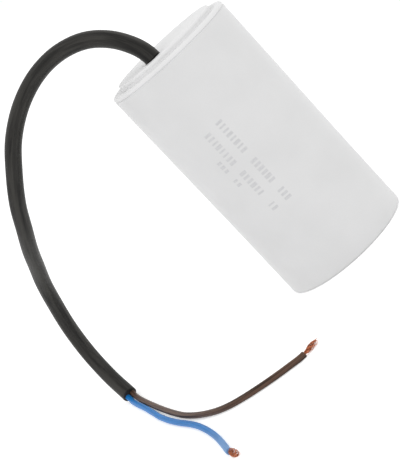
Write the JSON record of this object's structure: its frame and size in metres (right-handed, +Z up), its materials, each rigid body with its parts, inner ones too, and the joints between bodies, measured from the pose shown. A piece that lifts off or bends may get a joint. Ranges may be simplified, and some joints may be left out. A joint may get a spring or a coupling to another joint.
{
  "type": "motor run capacitor",
  "caption": "Round moulded motor run capacitor that stands on its base, with a raised lid and a dark cable whose stripped brown and blue cores lie beside it.",
  "frame": {"origin": "centre of the ring foot, on the surface that the can stands on", "axes": "+Z up along the can's axis towards the lid; -Y is the side that the cable's hole is nearest to; the free cable falls on the -X side"},
  "size_m": [0.132, 0.1635, 0.1221],
  "materials": {
    "case_plastic": "smooth light grey moulded plastic",
    "lid_plastic": "smooth off-white moulded plastic",
    "potting_resin": "hard cast resin",
    "metallised_film": "tightly wound metallised film",
    "wrap_film": "clear yellowish film wrap",
    "tube_plastic": "plain moulded tube",
    "sprayed_zinc": "dull sprayed metal",
    "brown_insulation": "soft satin cable insulation",
    "blue_insulation": "soft satin cable insulation",
    "tinned_copper": "tinned wire",
    "solder": "bright solder",
    "jacket": "satin charcoal cable jacket",
    "bare_copper": "bare copper wires"
  },
  "bodies": {
    "root": {"case": "case_plastic", "lid": "lid_plastic", "resin": "potting_resin", "film_roll": "metallised_film", "film_wrap": "wrap_film", "core_tube": "tube_plastic", "top_spray": "sprayed_zinc", "bottom_spray": "sprayed_zinc", "brown_lead": "brown_insulation", "brown_lead_end": "tinned_copper", "top_solder": "solder", "blue_lead": "blue_insulation", "blue_lead_end": "tinned_copper", "bottom_solder": "solder", "cable_tail": "jacket", "cable_jacket": "jacket", "brown_core": "brown_insulation", "blue_core": "blue_insulation", "brown_strands": "bare_copper", "blue_strands": "bare_copper"}
  },
  "joints": []
}
